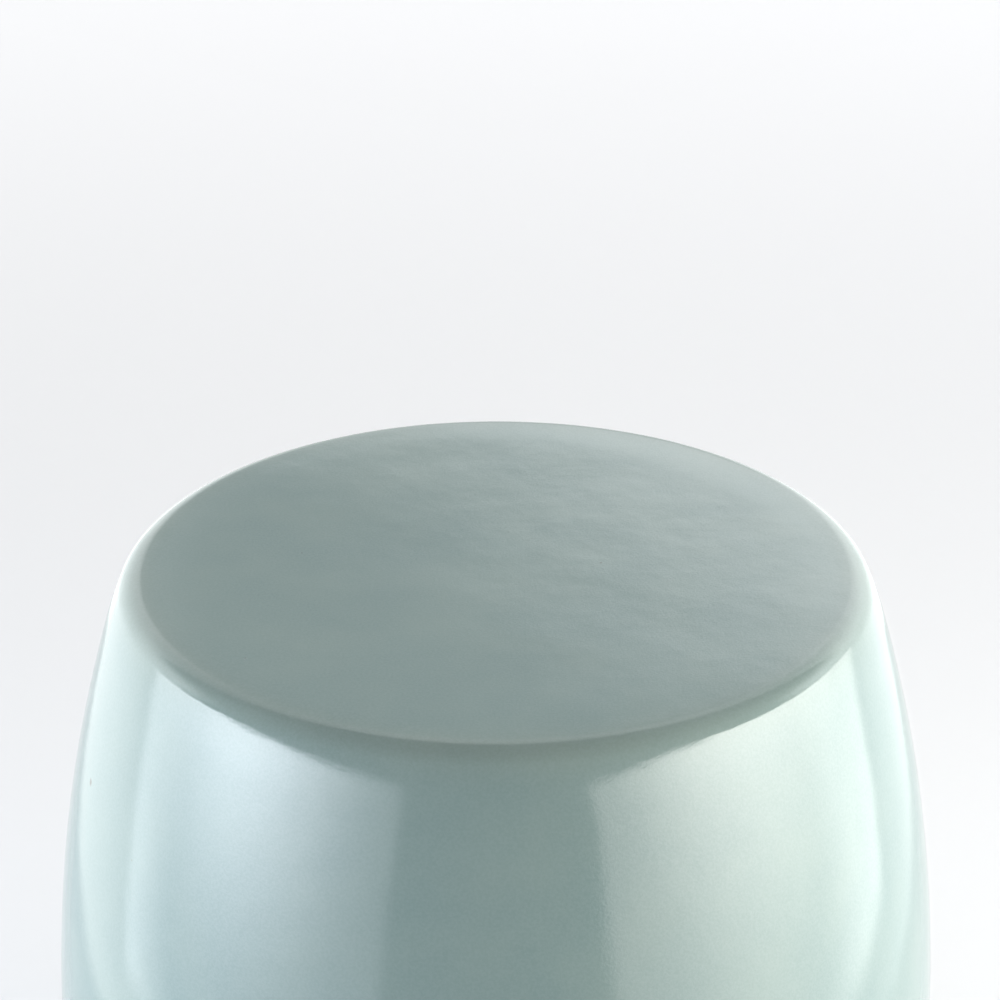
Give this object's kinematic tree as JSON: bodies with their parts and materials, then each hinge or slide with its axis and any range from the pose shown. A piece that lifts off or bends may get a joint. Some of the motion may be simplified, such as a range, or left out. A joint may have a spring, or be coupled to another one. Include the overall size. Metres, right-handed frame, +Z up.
{
  "type": "ceramic drum stool",
  "caption": "Closed-topped, open-footed barrel stool in stoneware under a thick pale celadon glaze, with a flat seat, rounded edge and bare foot ring on felt pads.",
  "frame": {"origin": "on the stool's axis, at floor level under the felt pads", "axes": "+Z up along the stool's axis, out of the seat; the stool looks the same all round, and X and Y run between neighbouring floor pads"},
  "size_m": [0.392, 0.3918, 0.45],
  "materials": {
    "celadon_glaze": "gloss",
    "stoneware": "matte",
    "bare_foot": "matte",
    "felt": "matte",
    "pad_backing": "satin"
  },
  "bodies": {
    "root": {"seat_slab": "stoneware", "seat_luting_coil": "stoneware", "upper_barrel": "stoneware", "waist_luting_coil": "stoneware", "lower_barrel": "stoneware", "foot_ring": "bare_foot", "glaze_coat": "celadon_glaze", "pad_backing_1": "pad_backing", "pad_backing_2": "pad_backing", "pad_backing_3": "pad_backing", "pad_backing_4": "pad_backing", "felt_pad_1": "felt", "felt_pad_2": "felt", "felt_pad_3": "felt", "felt_pad_4": "felt"}
  },
  "joints": []
}
